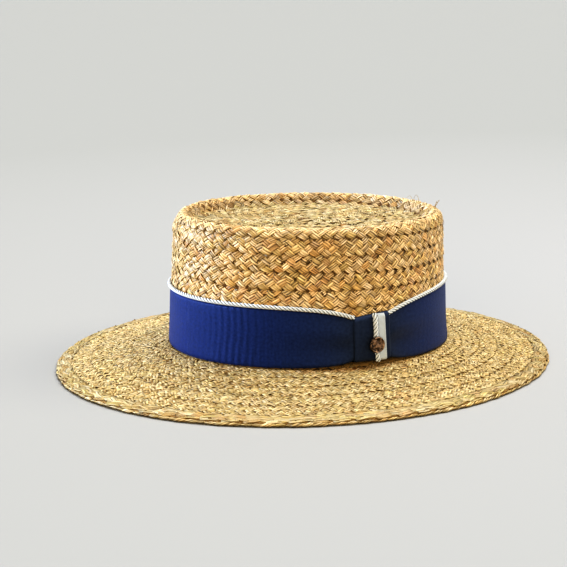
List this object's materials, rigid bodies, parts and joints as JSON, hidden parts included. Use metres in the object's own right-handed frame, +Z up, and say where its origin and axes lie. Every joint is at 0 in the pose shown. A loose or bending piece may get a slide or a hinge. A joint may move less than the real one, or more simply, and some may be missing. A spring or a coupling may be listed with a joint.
{
  "type": "straw boater hat",
  "caption": "Straw boater: sewn braid crown with a sunk tip, gently falling oval brim, and a navy ribbon band with corded edge, upright wrap and round pin.",
  "frame": {"origin": "middle of the brim's outline, on the plane that the brim's edge rests on", "axes": "+Z up; -Y towards the front of the hat; +X towards the wearer's left, where the wrap and pin are"},
  "size_m": [0.3106, 0.3476, 0.1043],
  "materials": {
    "crown_straw": "plaited raffia straw, matt with a faint sheen",
    "brim_straw": "plaited raffia straw, matt with a faint sheen",
    "ribbon": "navy grosgrain ribbon, low sheen",
    "cord": "off-white twisted cotton cord and tape",
    "pin_metal": "aged copper, softly polished on the high spots"
  },
  "bodies": {
    "root": {"crown": "crown_straw", "brim": "brim_straw", "hat_band": "ribbon", "band_cord": "cord", "band_wrap": "ribbon", "wrap_flange": "cord", "wrap_cord": "cord", "pin": "pin_metal"}
  },
  "joints": []
}
